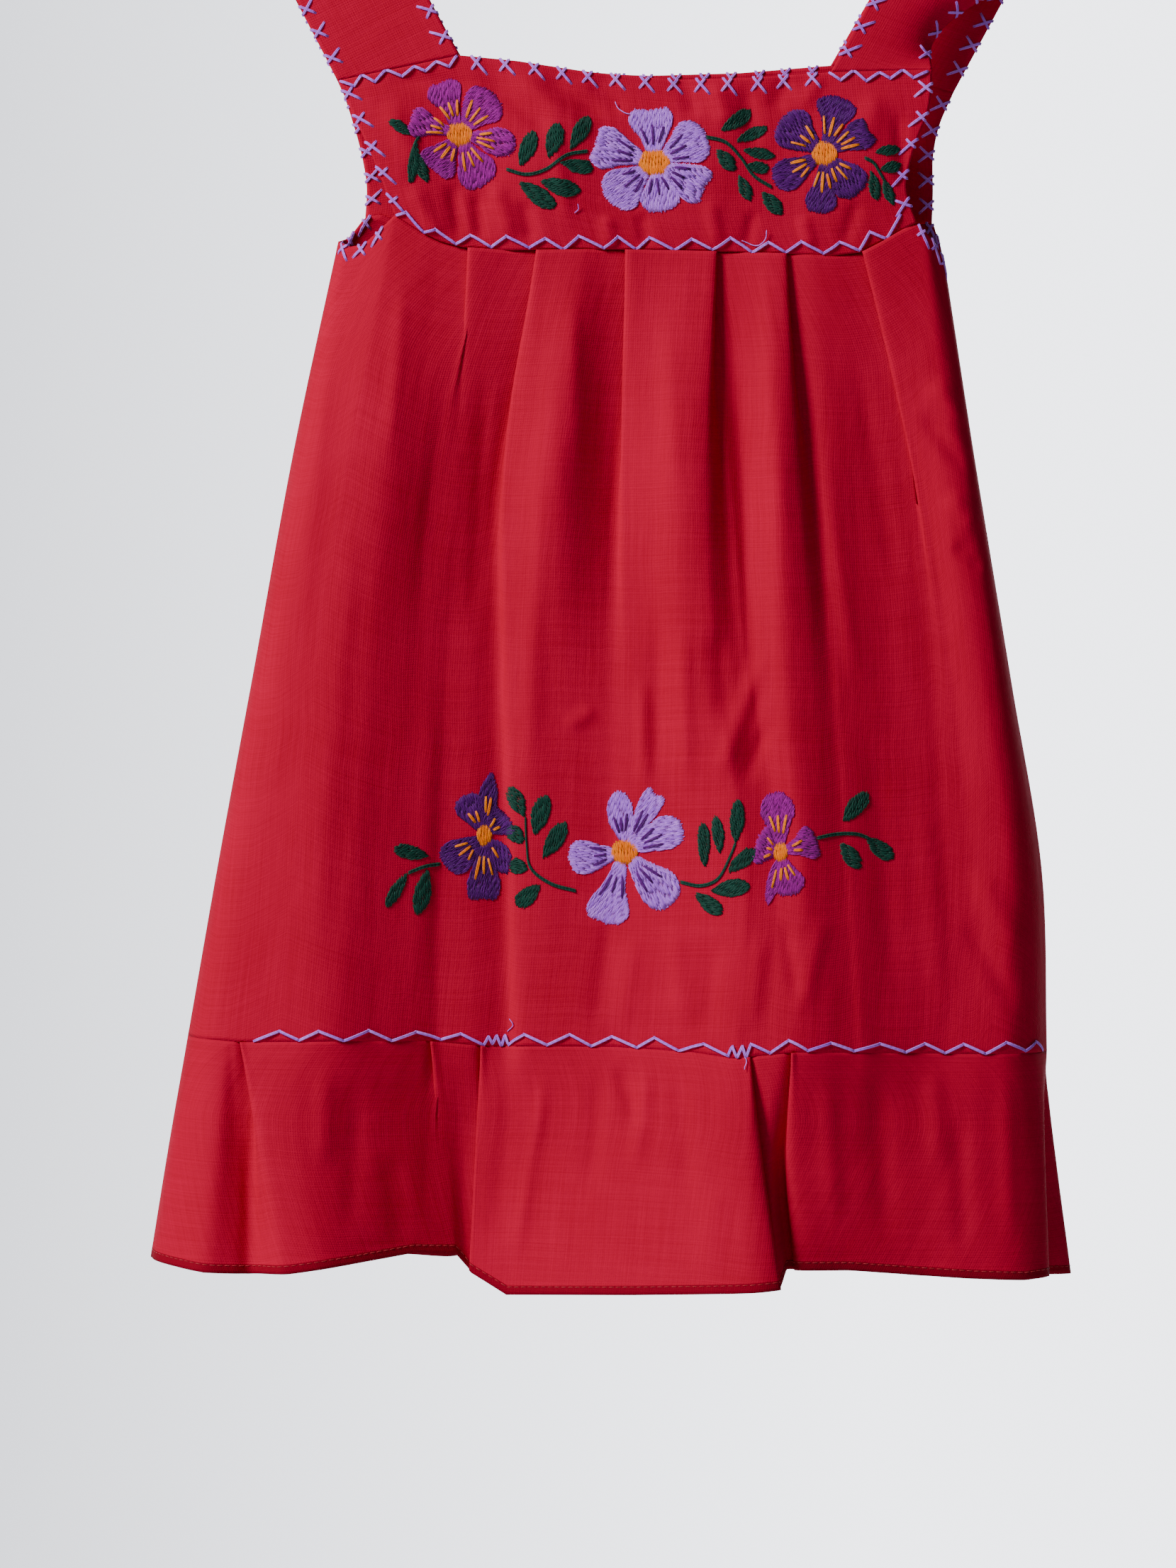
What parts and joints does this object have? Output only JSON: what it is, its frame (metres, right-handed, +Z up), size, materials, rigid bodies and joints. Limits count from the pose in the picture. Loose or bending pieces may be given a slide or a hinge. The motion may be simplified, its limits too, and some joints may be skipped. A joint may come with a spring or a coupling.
{
  "type": "embroidered dress on a hanger",
  "caption": "Toddler's red cotton sun dress with embroidered flowers, pleated skirt and hem ruffle, hung flat by its shoulder straps on a plain hanger.",
  "frame": {"origin": "the inside of the hanger's hook at its top, where it bears on a rail", "axes": "+Z up, the front of the dress faces -Y, +X to the right as the front is seen"},
  "size_m": [0.3605, 0.0885, 0.6456],
  "materials": {
    "red_cotton": "fine plain weave with a faint sheen",
    "thread_lilac": "satin stitch cotton thread",
    "thread_dark_purple": "satin stitch cotton thread",
    "thread_magenta": "satin stitch cotton thread",
    "thread_orange": "satin stitch cotton thread",
    "thread_green": "satin stitch cotton thread",
    "thread_red": "fine machine sewing thread",
    "beech": "satin varnish",
    "hook_wire": "polished"
  },
  "bodies": {
    "root": {"yoke_front": "red_cotton", "yoke_back": "red_cotton", "strap_left": "red_cotton", "strap_right": "red_cotton", "skirt_front": "red_cotton", "skirt_back": "red_cotton", "ruffle_front": "red_cotton", "ruffle_back": "red_cotton", "hanger_bar": "beech", "hanger_hook": "hook_wire"}
  },
  "joints": []
}
